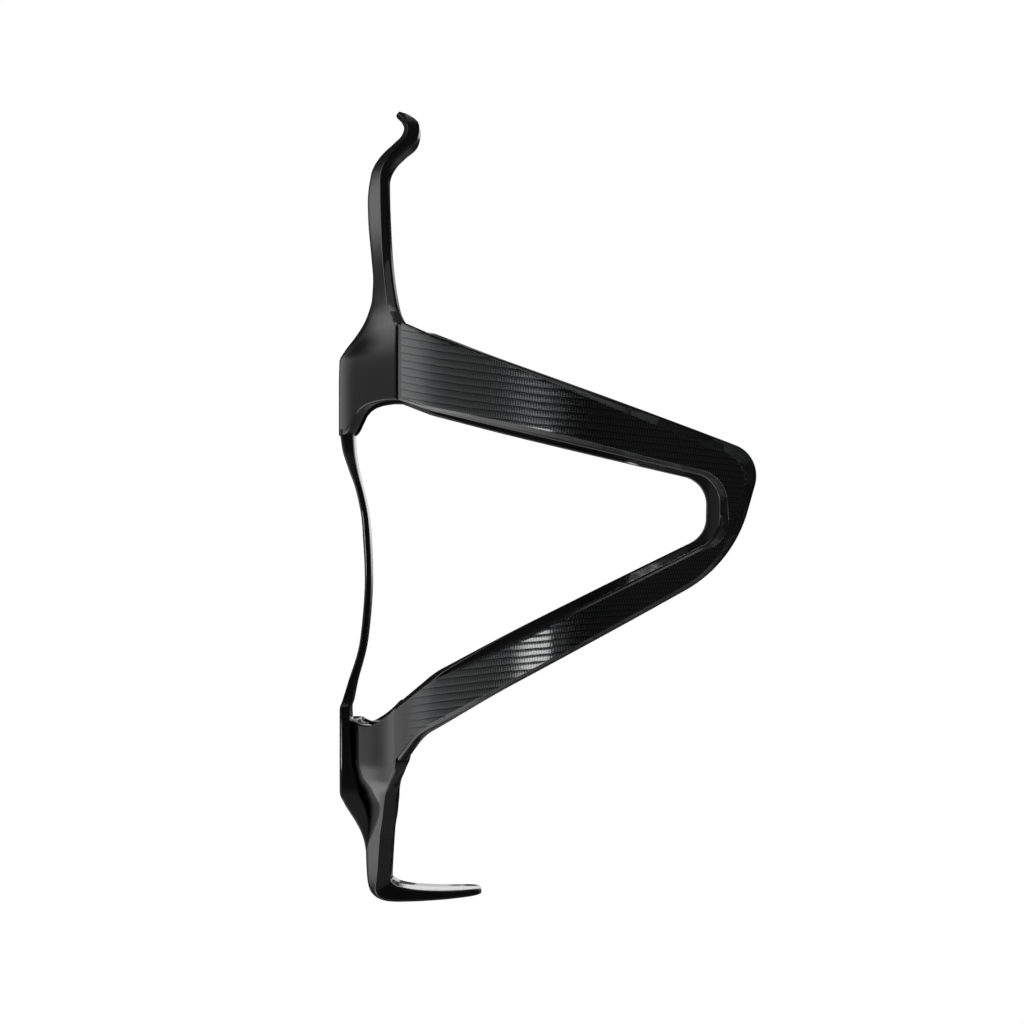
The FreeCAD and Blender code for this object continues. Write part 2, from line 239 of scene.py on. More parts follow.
def slab(outer, inner, side_rim, end_rims=(0.0, 0.0), lay=None):
    """Closed sheet between two grids (across, along, xyz). Each station along is a loop:
    the outer side, a rolled edge, the inner side, a rolled edge. An edge is a superellipse
    whose half height is half the wall and whose reach is its rim. A rimmed end rolls over
    in the same way; a rimless one is a flat butt. Returns points, faces, lay and columns."""
    middle = (outer + inner) / 2
    half = (outer - inner) / 2
    turn = np.linspace(0, math.pi, RIM_STEPS * 2 + 2)[1:-1]
    up = (np.sign(np.cos(turn)) * np.abs(np.cos(turn)) ** RIM_SQUARE)[:, None, None]
    out = (np.sin(turn) ** RIM_SQUARE)[:, None, None]
    rims = []
    for edge, beside in ((0, 1), (-1, -2)):
        away = square_to(middle[edge] - middle[beside], half[edge]) * side_rim
        rims.append(up * half[edge][None] + out * away[None])
    n = len(turn)
    first, last = rims[0][::-1], rims[1]
    spokes = np.concatenate([first[n // 2:], half, last, -half[::-1], first[:n // 2]])

    def round_loop(grid):
        start = np.repeat(grid[:1], n, axis=0)
        end = np.repeat(grid[-1:], n, axis=0)
        return np.concatenate([start[n // 2:], grid, end, grid[::-1], start[:n // 2]])

    centres = round_loop(middle)
    stations = [centres[:, k] + spokes[:, k] for k in range(centres.shape[1])]
    flat_lay = None
    if lay is not None:
        flat_lay = [round_loop(lay)[:, k] for k in range(centres.shape[1])]
    tip = np.linspace(0, math.pi / 2, RIM_STEPS + 2)[1:-1]
    for end, beside, reach in ((0, 1, end_rims[0]), (-1, -2, end_rims[1])):
        if not reach:
            continue
        ahead = square_to(middle[:, end] - middle[:, beside], half[:, end])
        ahead = round_loop(ahead[:, None])[:, 0]
        rolled = [
            centres[:, end] + spokes[:, end] * math.cos(a) ** RIM_SQUARE
            + ahead * reach * math.sin(a) ** RIM_SQUARE
            for a in tip
        ]
        stations = rolled[::-1] + stations if end == 0 else stations + rolled
        if lay is not None:
            more = [flat_lay[end]] * len(tip)
            flat_lay = more + flat_lay if end == 0 else flat_lay + more
    points = np.stack(stations)
    rows, cols = points.shape[:2]
    index = np.arange(rows * cols).reshape(rows, cols)
    nxt = np.roll(index, -1, axis=1)
    sides = np.stack([index[:-1], nxt[:-1], nxt[1:], index[1:]], -1).reshape(-1, 4)
    columns = np.tile(np.arange(cols), rows - 1)
    caps = []
    i = np.arange(cols // 2 - 1)
    for row, flip in ((0, True), (rows - 1, False)):
        r = index[row]
        quad = np.stack([r[i], r[i + 1], r[cols - 2 - i], r[cols - 1 - i]], -1)
        caps.append(quad[:, ::-1] if flip else quad)
    faces = np.concatenate([sides] + caps)
    columns = np.concatenate([columns, -np.ones(2 * len(i), int)])
    if lay is not None:
        flat_lay = np.stack(flat_lay).reshape(-1, 2)
    return points.reshape(-1, 3), faces, flat_lay, columns


def wheel(profile, centre, steps=72):
    """Profile of (radius, depth) pairs turned once round an axis along X through centre,
    a closed ring of section. Returns points and faces."""
    profile = np.asarray(profile, float)
    turn = np.linspace(0, 2 * math.pi, steps, endpoint=False)[:, None]
    x = centre[0] + profile[None, :, 1] + 0 * turn
    y = centre[1] + profile[None, :, 0] * np.cos(turn)
    z = centre[2] + profile[None, :, 0] * np.sin(turn)
    points = np.stack([x, y, z], -1)
    index = np.arange(steps * len(profile)).reshape(steps, -1)
    across = np.roll(index, -1, axis=1)
    faces = np.stack(
        [index, across, np.roll(across, -1, axis=0), np.roll(index, -1, axis=0)], -1
    ).reshape(-1, 4)
    return points.reshape(-1, 3), faces


def outward(points, faces):
    """Faces turned so that the volume they close is positive."""
    a, b, c, d = (points[faces[:, k]] for k in range(4))
    volume = np.sum(a * np.cross(b, c)) + np.sum(a * np.cross(c, d))
    return faces if volume > 0 else faces[:, ::-1]


def make_piece(name, points, faces, finishes, lay=None, finish_index=None, crease=32.0):
    """Mesh object at the origin from points in millimetres, smooth but for its creases."""
    faces = outward(points, faces)
    mesh = bpy.data.meshes.new(name)
    mesh.from_pydata((points * MM).tolist(), [], faces.tolist())
    mesh.polygons.foreach_set("use_smooth", np.ones(len(faces), bool))
    for finish in finishes:
        mesh.materials.append(finish)
    if finish_index is not None:
        mesh.polygons.foreach_set("material_index", finish_index.astype(np.int32))
    if lay is not None:
        vertex = np.zeros(len(mesh.loops), np.int32)
        mesh.loops.foreach_get("vertex_index", vertex)
        mesh.uv_layers.new(name="ply").data.foreach_set("uv", (lay[vertex] * MM).ravel())
    mesh.update()
    mesh.set_sharp_from_angle(angle=math.radians(crease))
    piece = bpy.data.objects.new(name, mesh)
    bpy.context.scene.collection.objects.link(piece)
    return piece


def laminate(context, name, outer, inner, side_rim, end_rims=(0.0, 0.0)):
    """Piece of lacquered carbon between two grids."""
    points, faces, _, _ = slab(outer, inner, side_rim, end_rims)
    return make_piece(name, points, faces, [finish_named(context, "lacquered_carbon")])


def drill(piece, radius, height, depth=(-4.0, 12.0), steps=64):
    """Takes a straight round hole along X out of a piece, for a bolt at this height."""
    turn = np.linspace(0, 2 * math.pi, steps, endpoint=False)
    ring = np.stack([0 * turn, radius * np.cos(turn), height + radius * np.sin(turn)], -1)
    ends = np.array([[[depth[0], 0, 0]], [[depth[1], 0, 0]]])
    points = (ring[None] + ends).reshape(-1, 3) * MM
    i = np.arange(steps)
    j = (i + 1) % steps
    sides = np.stack([i, j, j + steps, i + steps], -1).tolist()
    mesh = bpy.data.meshes.new("drill")
    mesh.from_pydata(points.tolist(), [], sides + [i[::-1].tolist(), (i + steps).tolist()])
    mesh.update()
    bit = bpy.data.objects.new("drill", mesh)
    bpy.context.scene.collection.objects.link(bit)
    volume_sign = sum((p.center.dot(p.normal)) * p.area for p in mesh.polygons)
    if volume_sign < 0:
        mesh.flip_normals()
    cut = piece.modifiers.new("bolt_hole", "BOOLEAN")
    cut.operation = "DIFFERENCE"
    cut.solver = "EXACT"
    cut.object = bit
    bpy.context.view_layer.update()
    seen = piece.evaluated_get(bpy.context.evaluated_depsgraph_get())
    drilled = bpy.data.meshes.new_from_object(seen)
    piece.modifiers.clear()
    old = piece.data
    piece.data = drilled
    bpy.data.meshes.remove(old)
    drilled.name = piece.name
    bpy.data.objects.remove(bit)
    drilled.polygons.foreach_set("use_smooth", np.ones(len(drilled.polygons), bool))
    drilled.set_sharp_from_angle(angle=math.radians(32.0))


# ---------------------------------------------------------------- the trunk


def section(across, flat, tip, sweep=0.0):
    """One section of the trunk, in the plane of its station. across runs -1 to 1. The
    spline leaves the middle flat and runs up the flank to its edge; with sweep it runs
    out along the bottle there. Returns depth, width, and the unit normal towards the
    bottle."""
    tip_a, tip_b = tip
    zero = 0 * (across + flat + tip_a)
    t = np.abs(across) + zero
    root = math.radians(ROOT_SWING)

    def style(plain, swept):
        return mix(plain, swept, sweep) + zero

    depth = [
        zero, zero, zero,
        style(tip_a * 0.45, tip_a * 0.42),
        style(tip_a * 0.80, tip_a - 3.4 * math.sin(root)),
        style(tip_a * 0.94, tip_a - 1.3 * math.sin(root)),
        tip_a + zero,
    ]
    width = [
        zero, flat * 0.55 + zero, flat + zero,
        style(mix(flat, tip_b, 0.45), mix(flat, tip_b, 0.40)),
        style(mix(flat, tip_b, 0.80), tip_b - 3.4 * math.cos(root)),
        style(mix(flat, tip_b, 0.94), tip_b - 1.3 * math.cos(root)),
        tip_b + zero,
    ]
    gap = 1e-4
    before, after = np.clip(t - gap, 0, 1), np.clip(t + gap, 0, 1)
    da = pull(depth, after) - pull(depth, before)
    db = pull(width, after) - pull(width, before)
    size = np.hypot(da, db)
    side = np.sign(across) + zero
    return pull(depth, t), side * pull(width, t), db / size, -side * da / size


# Upper trunk: heights and, at each, the back line, the swing of its edge round the
# bottle in degrees, the half width of the flat, and the wall.
UPPER_Z = [25.4, 33.0, 37.4, 39.6, 41.4, 43.1, 44.8, 46.6, 48.4, 52.0, 56.0, 62.5, 66.0,
           68.2, 70.0]
UPPER_BACK = [0.0, 0.0, 0.1, 1.25, 2.6, 3.75, 4.65, 5.3, 5.75, 5.95, 5.65, 5.1, 5.0, 5.15, 5.45]
UPPER_SWING = [28.0, 28.0, 28.0, 28.0, 28.0, 28.0, 25.0, 21.7, 20.0, 17.4, 15.2, 13.2, 12.5,
               12.3, 12.2]
UPPER_FLAT = [8.6, 8.6, 8.2, 7.6, 6.8, 5.9, 5.1, 4.5, 3.9, 3.3, 3.0, 3.0, 3.0, 3.0, 3.0]
UPPER_WALL = [2.4, 2.4, 2.4, 2.4, 2.4, 2.4, 2.25, 2.0, 1.8, 1.65, 1.6, 1.6, 1.6, 1.6, 1.6]
NECK_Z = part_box("neck_strap")[0].z / MM
HOOK_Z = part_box("hook_lip")[0].z / MM

# The hook, along its own path: back line, lean, half width, sag of the channel, wall.
HOOK_PATH_X = [5.45, 5.66, 6.3, 7.7, 9.6, 11.05, 11.45, 11.05, 10.2]
HOOK_PATH_Z = [70.0, 71.1, 72.6, 74.5, 76.3, 77.8, 79.0, 80.2, 81.1]
HOOK_LEAN = [8.0, 15.0, 27.0, 39.0, 43.0, 24.0, -6.0, -30.0, -44.0]
HOOK_HALF = [8.16, 8.13, 8.1, 8.0, 7.9, 7.75, 7.4, 6.7, 5.2]
HOOK_SAG = [1.82, 1.74, 1.58, 1.35, 1.1, 0.9, 0.7, 0.5, 0.35]
HOOK_WALL = [1.6, 1.6, 1.6, 1.6, 1.75, 2.2, 2.15, 1.2, 0.6]


def upper_trunk(across, height):
    """Outer and inner grids of the saddle and the neck: a horizontal section at each
    height, its edge on the shell at that height's swing, leaning a little near the top."""
    back = through(UPPER_Z, UPPER_BACK, height)
    swing = np.radians(through(UPPER_Z, UPPER_SWING, height))
    flat = through(UPPER_Z, UPPER_FLAT, height)
    wall = through(UPPER_Z, UPPER_WALL, height)
    edge_r = BOTTLE_R + wall
    tip = (AXIS_X - edge_r * np.cos(swing) - back, edge_r * np.sin(swing))
    a, b, na, nb = section(across, flat, tip)
    lean = np.radians(through([46.0, 62.0, 70.0], [0.0, 0.0, 8.0], height))
    return lift(back, height, lean, a, b, na, nb, wall)


def lift(back, height, lean, a, b, na, nb, wall):
    """Section depth and width set into space: depth runs forward, tipped down by lean."""
    forward, down = np.cos(lean), -np.sin(lean)
    outer = np.stack([back + a * forward, b, height + a * down], -1)
    inner = np.stack(
        [back + (a + na * wall) * forward, b + nb * wall, height + (a + na * wall) * down], -1
    )
    return outer, inner


def hook_trunk(across, along):
    """Outer and inner grids of the lip: the neck's channel carried along the S-bend."""
    x, z = np.asarray(HOOK_PATH_X), np.asarray(HOOK_PATH_Z)
    run = np.concatenate([[0], np.cumsum(np.hypot(np.diff(x), np.diff(z)))])
    at = along * run[-1]
    back, height = through(run, x, at), through(run, z, at)
    lean = np.radians(through(run, HOOK_LEAN, at))
    half, sag = through(run, HOOK_HALF, at), through(run, HOOK_SAG, at)
    flat = mix(3.0, 2.4, along)
    a, b, na, nb = section(across, flat, (sag, half))
    return lift(back, height, lean, a, b, na, nb, through(run, HOOK_WALL, at))


# Lower trunk, along its own path from the lower saddle round the heel to the toe.
LOWER_X = [1.8, 1.8, 2.1, 3.2, 4.3, 4.75, 4.8, 4.72, 4.85, 5.0, 5.5, 6.8, 8.6, 10.4, 13.0,
           18.0, 22.0, 24.2, 25.0]
LOWER_Z = [-22.4, -33.0, -36.3, -38.7, -41.0, -44.0, -46.0, -49.5, -53.0, -54.7, -56.45, -57.7,
           -58.25, -58.35, -58.3, -58.0, -57.6, -57.3, -57.1]
LOWER_TURN = [0, 0, 0, 0, 0, 0, 0, 0, 2, 7, 22, 50, 74, 87, 90, 92, 94, 96, 98]
LOWER_TIP_A = [8.41, 8.41, 7.03, 5.14, 3.72, 2.90, 2.52, 2.33, 1.92, 1.6, 1.05, 0.55, 0.32, 0.25,
               0.25, 0.22, 0.2, 0.15, 0.1]
LOWER_TIP_B = [18.5, 18.5, 16.4, 14.5, 13.6, 12.55, 11.5, 10.6, 9.6, 9.2, 8.9, 8.7, 8.55, 8.45,
               8.4, 8.3, 7.6, 5.9, 4.2]
LOWER_FLAT = [7.8, 7.8, 7.2, 6.5, 6.0, 5.4, 5.0, 4.6, 4.4, 4.4, 4.6, 5.0, 5.2, 5.2, 5.2,
              5.0, 4.4, 3.4, 2.4]
LOWER_WALL = [2.4, 2.4, 2.4, 2.45, 2.5, 2.5, 2.5, 2.55, 2.65, 2.8, 3.2, 3.6, 3.3, 2.75, 2.2,
              1.65, 1.35, 1.15, 0.95]
SADDLE_END_Z = -46.0    # where the lower saddle hands over to the strut
HEEL_X = 10.4           # where the strut hands over to the foot

# Places on the saddles' window edges, forward of the frame, and their heights.
UPPER_EDGE_X = [0.0, 1.2, 2.2, 3.1, 4.1, 5.5, 7.1, 8.7, ROOT_X]
UPPER_EDGE_Z = [24.6, 25.0, 26.5, 28.4, 29.5, 30.2, 30.6, 30.8, 30.8]
LOWER_EDGE_X = [1.8, 2.2, 2.9, 3.9, 5.2, 6.8, 8.4, ROOT_X]
LOWER_EDGE_Z = [-26.3, -26.5, -26.8, -27.2, -27.3, -26.6, -25.5, -23.8]

# Spine, from the upper saddle down to its tail: heights, back line, wall, half width.
SPINE_Z = [25.4, 21.8, 18.3, 14.7, 9.4, 5.8, -1.3, -12.0, -19.1, -22.7, -24.5, -33.0, -38.7,
           -40.6, -42.3, -44.1, -45.9, -47.7, -49.3]
SPINE_X = [0.0, 0.5, 1.6, 2.85, 3.9, 4.15, 4.45, 3.6, 1.6, 0.5, 0.0, 0.0, 0.0,
           0.7, 1.8, 3.0, 3.9, 4.45, 4.7]
SPINE_WALL = [2.3, 2.0, 1.45, 1.1, 1.1, 1.15, 1.05, 1.05, 1.3, 1.65, 1.75, 2.2, 3.4,
              3.5, 3.1, 2.4, 1.5, 0.9, 0.5]
SPINE_HALF = [8.6, 8.3, 7.6, 7.1, 6.9, 6.9, 6.9, 7.0, 7.5, 8.3, 8.9, 9.0, 8.6,
              8.0, 7.4, 6.7, 6.0, 5.2, 4.4]


def lower_run():
    """Distance along the lower trunk's back line at each of its stations."""
    return np.concatenate([[0], np.cumsum(np.hypot(np.diff(LOWER_X), np.diff(LOWER_Z)))])


def lower_trunk(across, at):
    """Outer and inner grids of the lower saddle, strut and foot at a distance along."""
    run = lower_run()
    back, height = through(run, LOWER_X, at), through(run, LOWER_Z, at)
    turn = np.radians(through(run, LOWER_TURN, at))
    flat, wall = through(run, LOWER_FLAT, at), through(run, LOWER_WALL, at)
    tip = (through(run, LOWER_TIP_A, at), through(run, LOWER_TIP_B, at))
    a, b, na, nb = section(across, flat, tip, sweep=1 - ease(9.5, 16.0, at))
    return lift(back, height, -turn, a, b, na, nb, wall)


# ---------------------------------------------------------------- the wings


def meet(x_a, z_a, slope_a, x_b, z_b, slope_b):
    """Crossing point of two lines in side view, each a point and a slope in degrees."""
    ca, sa = math.cos(math.radians(slope_a)), math.sin(math.radians(slope_a))
    cb, sb = math.cos(math.radians(slope_b)), math.sin(math.radians(slope_b))
    t = ((x_b - x_a) * sb - (z_b - z_a) * cb) / (ca * sb - sa * cb)
    return x_a + t * ca, z_a + t * sa


def rounded(corners, radii, runs, turns):
    """Side outline through corners: straight runs, and an arc of its radius at each inner
    corner. runs and turns are how many points each gets, so that two outlines match."""
    corners = np.asarray(corners, float)
    come = unit(corners[1:-1] - corners[:-2])
    leave = unit(corners[2:] - corners[1:-1])
    bend = np.arccos(np.clip(np.sum(come * leave, -1), -1, 1))
    reach = np.asarray(radii) * np.tan(bend / 2)
    starts = corners[1:-1] - come * reach[:, None]
    ends = corners[1:-1] + leave * reach[:, None]
    parts, here = [], corners[0]
    for k in range(len(radii)):
        share = np.linspace(0, 1, runs[k], endpoint=False)[:, None]
        parts.append(mix(here, starts[k], share))
        angle = np.linspace(0, bend[k], turns[k], endpoint=False)[:, None]
        side = unit(leave[k] - come[k] * np.dot(come[k], leave[k]))
        centre = starts[k] + side * radii[k]
        parts.append(centre + radii[k] * (come[k] * np.sin(angle) - side * np.cos(angle)))
        here = ends[k]
    share = np.linspace(0, 1, runs[-1])[:, None]
    parts.append(mix(here, corners[-1], share))
    return np.concatenate(parts)


WING_RUNS = (5, 56, 18, 44, 5)
WING_TURNS = (8, 16, 16, 8)
WING_TOP, WING_TOP_SLOPE = 42.8, -19.7
WING_LOW, WING_LOW_SLOPE = -29.0, 28.6
WING_FRONT, WING_FRONT_SLOPE = 74.2, 73.5
WINDOW_TOP, WINDOW_TOP_SLOPE = 29.15, -13.35
WINDOW_LOW, WINDOW_LOW_SLOPE = -20.05, 26.1
WINDOW_FRONT = 66.2
WING_SEAM_TOP, WING_SEAM_LOW = 44.1, -32.9        # where the outlines meet the saddles
WINDOW_SEAM_TOP, WINDOW_SEAM_LOW = 30.3, -23.3
OUTER_RADII, WINDOW_RADII = (20.0, 5.6, 23.0, 9.0), (12.0, 5.2, 5.2, 14.0)


def wing_edges():
    """The wing's outer outline and its window's, in side view, point for point."""
    edge_x = ROOT_X + 2.0

    def along(height, slope, forward):
        return height + forward * math.tan(math.radians(slope))

    nose = meet(edge_x, WING_TOP, WING_TOP_SLOPE, WING_FRONT, 20.0, WING_FRONT_SLOPE)
    chin = meet(edge_x, WING_LOW, WING_LOW_SLOPE, WING_FRONT, 20.0, WING_FRONT_SLOPE)
    outer = rounded(
        [
            (ROOT_X, WING_SEAM_TOP), (13.4, along(WING_TOP, WING_TOP_SLOPE, 1.2) + 0.3),
            nose, chin,
            (13.6, along(WING_LOW, WING_LOW_SLOPE, 1.4)), (ROOT_X, WING_SEAM_LOW),
        ],
        OUTER_RADII, WING_RUNS, WING_TURNS,
    )
    top = meet(edge_x, WINDOW_TOP, WINDOW_TOP_SLOPE, WINDOW_FRONT, 0.0, 89.0)
    low = meet(edge_x, WINDOW_LOW, WINDOW_LOW_SLOPE, WINDOW_FRONT, 0.0, 89.0)
    window = rounded(
        [
            (ROOT_X, WINDOW_SEAM_TOP), (edge_x + 3.0, along(WINDOW_TOP, WINDOW_TOP_SLOPE, 3.0)),
            top, low, (edge_x + 4.0, WINDOW_LOW + 1.6), (ROOT_X, WINDOW_SEAM_LOW),
        ],
        WINDOW_RADII, WING_RUNS, WING_TURNS,
    )
    return outer, window


def wing_place(side, line, radius):
    """A side-view line wrapped on a cylinder about the bottle: x and z keep their values,
    as seen on the shell's outside, and y follows from the swing."""
    seen = mix(SHELL_R, radius, ease(ROOT_X + 4, ROOT_X + 24, line[..., 0]))
    swing = np.arccos(np.clip((AXIS_X - line[..., 0]) / seen, -1, 1))
    forward, aside = AXIS_X - radius * np.cos(swing), side * radius * np.sin(swing)
    return np.stack([forward, aside, line[..., 1] + 0 * swing], -1)


def wing_widths(outer, window):
    """Width of the band at each station, and of the chamfers along its two edges."""
    width = np.linalg.norm(outer - window, axis=-1)
    place = np.concatenate([[0], np.cumsum(np.linalg.norm(np.diff(outer, axis=0), axis=-1))])
    place = place / place[-1]
    window_side = through(
        [0, 0.03, 0.20, 0.36, 0.43, 0.50, 0.56, 0.62, 0.80, 0.97, 1],
        [0.5, 0.8, 1.15, 0.9, 1.2, 1.6, 1.5, 0.9, 0.75, 0.6, 0.5], place,
    )
    outer_side = through(
        [0, 0.03, 0.12, 0.28, 0.40, 0.47, 0.54, 0.62, 0.85, 0.97, 1],
        [0.35, 0.4, 0.5, 1.5, 2.1, 2.5, 1.5, 1.15, 1.0, 0.6, 0.4], place,
    )
    return width, window_side, outer_side


def wing_band(side, sizes):
    """Band of one wing: across it a chamfer, a flat under the woven ply and a chamfer,
    its inside on the bottle's cylinder."""
    outer, window = wing_edges()
    rim = sizes.rim / MM
    width, w_side, o_side = wing_widths(outer, window)
    flat_r = SHELL_R - sizes.ply / MM + 0.02
    bevel = np.array([0.0, 0.3, 0.6, 0.85, 0.95, 1.0, 1.06])
    fall = np.array([1.0, 0.70, 0.40, 0.15, 0.062, 0.02, 0.0])
    slope = sizes.chamfer_slope
    near = rim + bevel[:, None] * (w_side - rim)[None]
    far = width[None] - rim - bevel[::-1, None] * (o_side - rim)[None]
    inside = mix(near[-1][None], far[0][None], np.linspace(0, 1, 16)[1:-1, None])
    at = np.concatenate([near, inside, far])
    drop = np.concatenate([
        fall[:, None] * (w_side - rim)[None], 0 * inside, fall[::-1, None] * (o_side - rim)[None],
    ]) * slope
    line = window[None] + (outer - window)[None] * (at / width[None])[..., None]
    face = wing_place(side, line, flat_r - drop)
    back = wing_place(side, line, sizes.bottle_r / MM + 0 * at)
    lay = np.stack([line[..., 0], line[..., 1]], -1)
    return slab(face, back, rim, (0.0, 0.0), lay), len(bevel), at.shape[0]


def wing_cover(side, sizes):
    """Woven ply of one wing: the flat between its chamfers, lifted by its own thickness,
    its edge rolled. The lay follows the surface, tilted down the upper arm and up the
    lower one."""
    outer, window = wing_edges()
    width, w_side, o_side = wing_widths(outer, window)
    share = np.linspace(0, 1, 15)[:, None]
    at = mix((w_side + PLY_RIM)[None], (width - o_side - PLY_RIM)[None], share)
    line = window[None] + (outer - window)[None] * (at / width[None])[..., None]
    upper = ease(0.0, 20.0, line[..., 1]) * (1 - ease(ROOT_X, ROOT_X + 8, line[..., 0]))
    line = line + np.stack([1.15 * upper, 0 * upper], -1)
    thick = sizes.ply / MM
    face = wing_place(side, line, SHELL_R + 0 * line[..., 0])
    back = wing_place(side, line, SHELL_R - thick + 0.03 + 0 * line[..., 0])
    swing = np.arccos(np.clip((AXIS_X - line[..., 0]) / SHELL_R, -1, 1))
    arc = swing * SHELL_R
    tilt = 0.13 * np.tanh((line[..., 1] - 4.0) / 12.0)
    lay = np.stack([arc, line[..., 1] + tilt * arc], -1)
    return slab(face, back, PLY_RIM, (0.0, 0.0), lay)


# ---------------------------------------------------------------- finishes


class Nodes:
    """Node tree and the ways to add to it."""

    def __init__(self, tree):
        self.tree = tree

    def add(self, kind, inputs=None, **settings):
        """New node with its settings, each input linked or given its value."""
        made = self.tree.nodes.new(kind)
        for key, value in settings.items():
            setattr(made, key, value)
        for key, value in (inputs or {}).items():
            if isinstance(value, bpy.types.NodeSocket):
                self.tree.links.new(value, made.inputs[key])
            else:
                made.inputs[key].default_value = value
        return made

    def calc(self, operation, a, b=0.0, c=0.0):
        """One step of arithmetic."""
        return self.add("ShaderNodeMath", {0: a, 1: b, 2: c}, operation=operation).outputs[0]

    def ramp(self, value, low, high, start=0.0, end=1.0, **settings):
        """Value stretched from low..high to start..end and held there."""
        ends = {"From Min": low, "From Max": high, "To Min": start, "To Max": end}
        made = self.add("ShaderNodeMapRange", {"Value": value, **ends}, **settings)
        return made.outputs["Result"]

    def noise(self, place, scale, detail, output="Fac"):
        """Fractal noise at a place."""
        inputs = {"Vector": place, "Scale": scale, "Detail": detail}
        return self.add("ShaderNodeTexNoise", inputs).outputs[output]

    def split_rays(self, bounced, seen, out):
        """Shows the eye one shader, and reflections and bounce another."""
        path = self.add("ShaderNodeLightPath").outputs["Is Camera Ray"]
        both = self.add("ShaderNodeMixShader", {0: path, 1: bounced.outputs[0], 2: seen.outputs[0]})
        self.tree.links.new(both.outputs[0], out.inputs["Surface"])


class Finish(Nodes):
    """Material with its shader and the ways to drive it."""

    def __init__(self, name):
        self.material = bpy.data.materials.new(name)
        self.material.use_nodes = True
        super().__init__(self.material.node_tree)
        self.shader = next(n for n in self.tree.nodes if n.type == "BSDF_PRINCIPLED")

    def give(self, **values):
        """Sets the shader's inputs, an underscore for each space in their names."""
        for name, value in values.items():
            self.shader.inputs[name.replace("_", " ")].default_value = value

    def drive(self, name, output):
        """Links an output to one of the shader's inputs."""
        self.tree.links.new(output, self.shader.inputs[name])

    def colour(self, share, low, high):
        """Base colour from low at share 0 to high at share 1."""
        blend = self.add("ShaderNodeMix", {"Factor": share}, data_type="RGBA")
        ends = [s for s in blend.inputs if s.type == "RGBA"]
        ends[0].default_value, ends[1].default_value = (*low, 1), (*high, 1)
        self.drive("Base Color", next(s for s in blend.outputs if s.type == "RGBA"))

    def rough(self, value, start, end):
        """Roughness from start at value 0 to end at value 1."""
        self.drive("Roughness", self.ramp(value, 0.0, 1.0, start, end))

    def relief(self, height, strength, distance, onto="Normal"):
        """Bumps on the fibre, or on the coat over it."""
        inputs = {"Height": height, "Strength": strength, "Distance": distance}
        self.drive(onto, self.add("ShaderNodeBump", inputs).outputs[0])

    def coat(self, roughness):
        """Clear lacquer over the fibre, the same all over."""
        self.give(Coat_Weight=1.0, Coat_Roughness=roughness, Coat_IOR=1.52)


def dimmed(colour, share):
    """Colour with each channel multiplied by share."""
    return [share * c for c in colour]


def lacquered_carbon(looks):
    """Unidirectional carbon under lacquer: long faint streaks up the part, a broad mottle
    from the resin, and the slight waviness of a sprayed coat."""
    carbon = Finish("lacquered_carbon")
    place = carbon.add("ShaderNodeTexCoord").outputs["Object"]
    stretched = carbon.add("ShaderNodeMapping", {"Vector": place, "Scale": (900.0, 900.0, 60.0)})
    streak = carbon.noise(stretched.outputs[0], 1.0, 4.0)
    mottle = carbon.noise(place, 180.0, 3.0)
    share = carbon.ramp(carbon.calc("MULTIPLY", streak, mottle), 0.12, 0.42)
    carbon.colour(share, looks.resin, dimmed(looks.fibre, 0.05))
    carbon.rough(streak, 0.34, 0.52)
    carbon.relief(carbon.noise(place, 420.0, 2.0), 0.25, 0.00004, "Coat Normal")
    carbon.relief(streak, 0.5, 0.00003)
    carbon.give(Specular_IOR_Level=0.35)
    carbon.coat(0.06)
    return carbon.material


def woven_carbon(looks):
    """Woven ply: tows run along the arm, each a low round ridge with a dark groove beside
    it, crossed by finer picks. Read in the ply's own lay, and faded out towards the lower
    arm's root."""
    carbon = Finish("woven_carbon")
    add, calc, ramp = carbon.add, carbon.calc, carbon.ramp
    ply = add("ShaderNodeUVMap", uv_map="ply").outputs["UV"]
    parts = add("ShaderNodeSeparateXYZ", {"Vector": ply})
    run, rise = parts.outputs["X"], parts.outputs["Y"]
    wobble = calc("MULTIPLY", carbon.noise(ply, 300.0, 2.0), 0.25)
    row = calc("ADD", calc("DIVIDE", rise, looks.tow), wobble)
    ridge = calc("SINE", calc("MULTIPLY", calc("FRACT", row), math.pi))
    odd = calc("PINGPONG", calc("FLOOR", row), 1.0)
    pick = calc("ADD", calc("DIVIDE", run, looks.tow * 0.36), calc("MULTIPLY", odd, 0.5))
    pick_wave = calc("SINE", calc("MULTIPLY", pick, 2 * math.pi))
    groove = ramp(ridge, 0.0, 0.42)
    picks = calc("MULTIPLY_ADD", pick_wave, 0.5, 0.5)
    lively = ramp(run, 0.032, 0.046, 0.12, 0.75)
    pick_depth = calc("MULTIPLY", calc("SUBTRACT", 1.0, picks), lively)
    onto_arm = ramp(run, 0.0215, 0.0300, interpolation_type="SMOOTHSTEP")
    shown = calc("MAXIMUM", onto_arm, ramp(rise, 0.0, 0.006))
    weave = calc("MULTIPLY", calc("MULTIPLY", groove, shown), calc("SUBTRACT", 1.0, pick_depth))
    carbon.colour(weave, looks.resin, looks.fibre)
    carbon.rough(weave, 0.42, 0.33)
    height = calc("MULTIPLY", calc("MULTIPLY_ADD", picks, 0.25, ridge), shown)
    carbon.relief(height, 1.0, 0.00003)
    carbon.relief(height, 1.0, 0.000006, "Coat Normal")
    carbon.give(Metallic=1.0, Specular_IOR_Level=0.5)
    carbon.coat(0.05)
    return carbon.material


